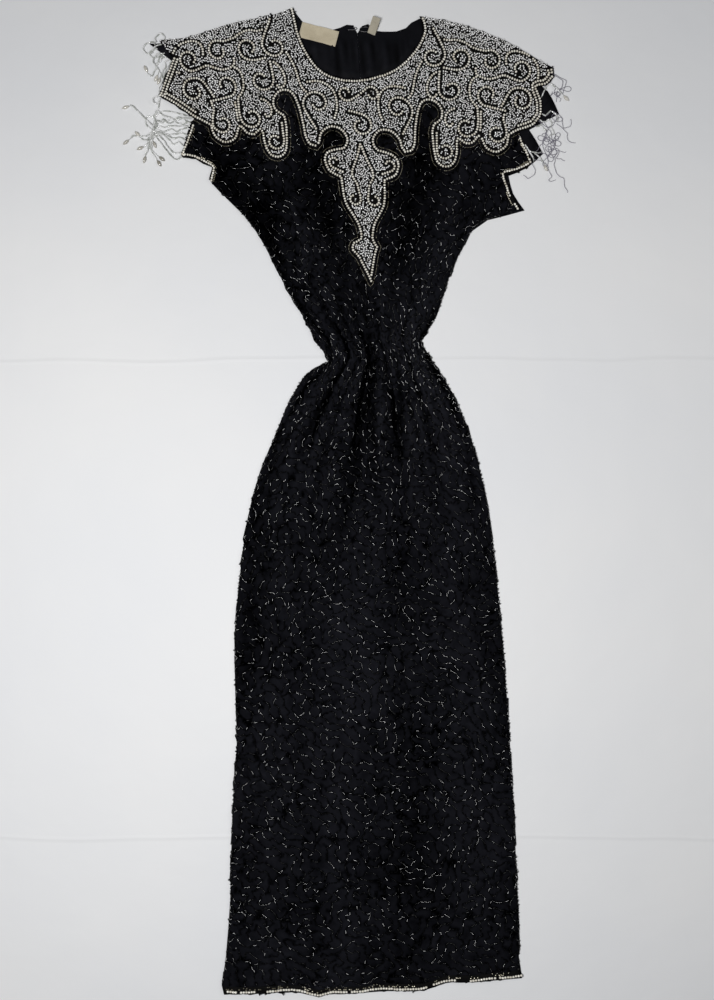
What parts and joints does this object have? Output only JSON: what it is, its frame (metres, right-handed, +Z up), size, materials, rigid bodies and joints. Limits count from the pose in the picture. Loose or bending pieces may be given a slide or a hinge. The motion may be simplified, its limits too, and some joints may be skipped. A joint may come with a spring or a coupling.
{
  "type": "beaded evening dress",
  "caption": "Floor-length black beaded evening dress laid flat, with a gathered waist, notched cap sleeves, a scrolled silver and ivory bead yoke and beaded fringe",
  "frame": {"origin": "middle of the footprint, on the surface that the dress lies on", "axes": "+Z up out of the surface, +Y towards the neck, +X to the right as seen from above"},
  "size_m": [0.6648, 1.483, 0.0144],
  "materials": {
    "silk": "black silk covered with squiggled rows of black glass bugle beads",
    "lining": "plain black lining, slightly creased",
    "seed_beads": "close silver-white seed beads with rows of ivory pearls and dark channels",
    "pearls": "ivory pearl beads with a soft lustre",
    "glass_beads": "clear and silvery bugle beads on thread, with long drop beads",
    "woven_label": "cream satin ribbon, bare",
    "white_tab": "white woven ribbon, bare",
    "fastening": "bent steel wire"
  },
  "bodies": {
    "root": {"front": "silk", "back_left": "lining", "back_right": "lining", "yoke": "seed_beads", "sleeve_trim_left": "pearls", "sleeve_trim_right": "pearls", "hem_trim": "pearls", "fringe_left": "glass_beads", "fringe_right": "glass_beads", "label": "woven_label", "size_tab": "white_tab", "neck_hook": "fastening", "neck_eye": "fastening"}
  },
  "joints": []
}
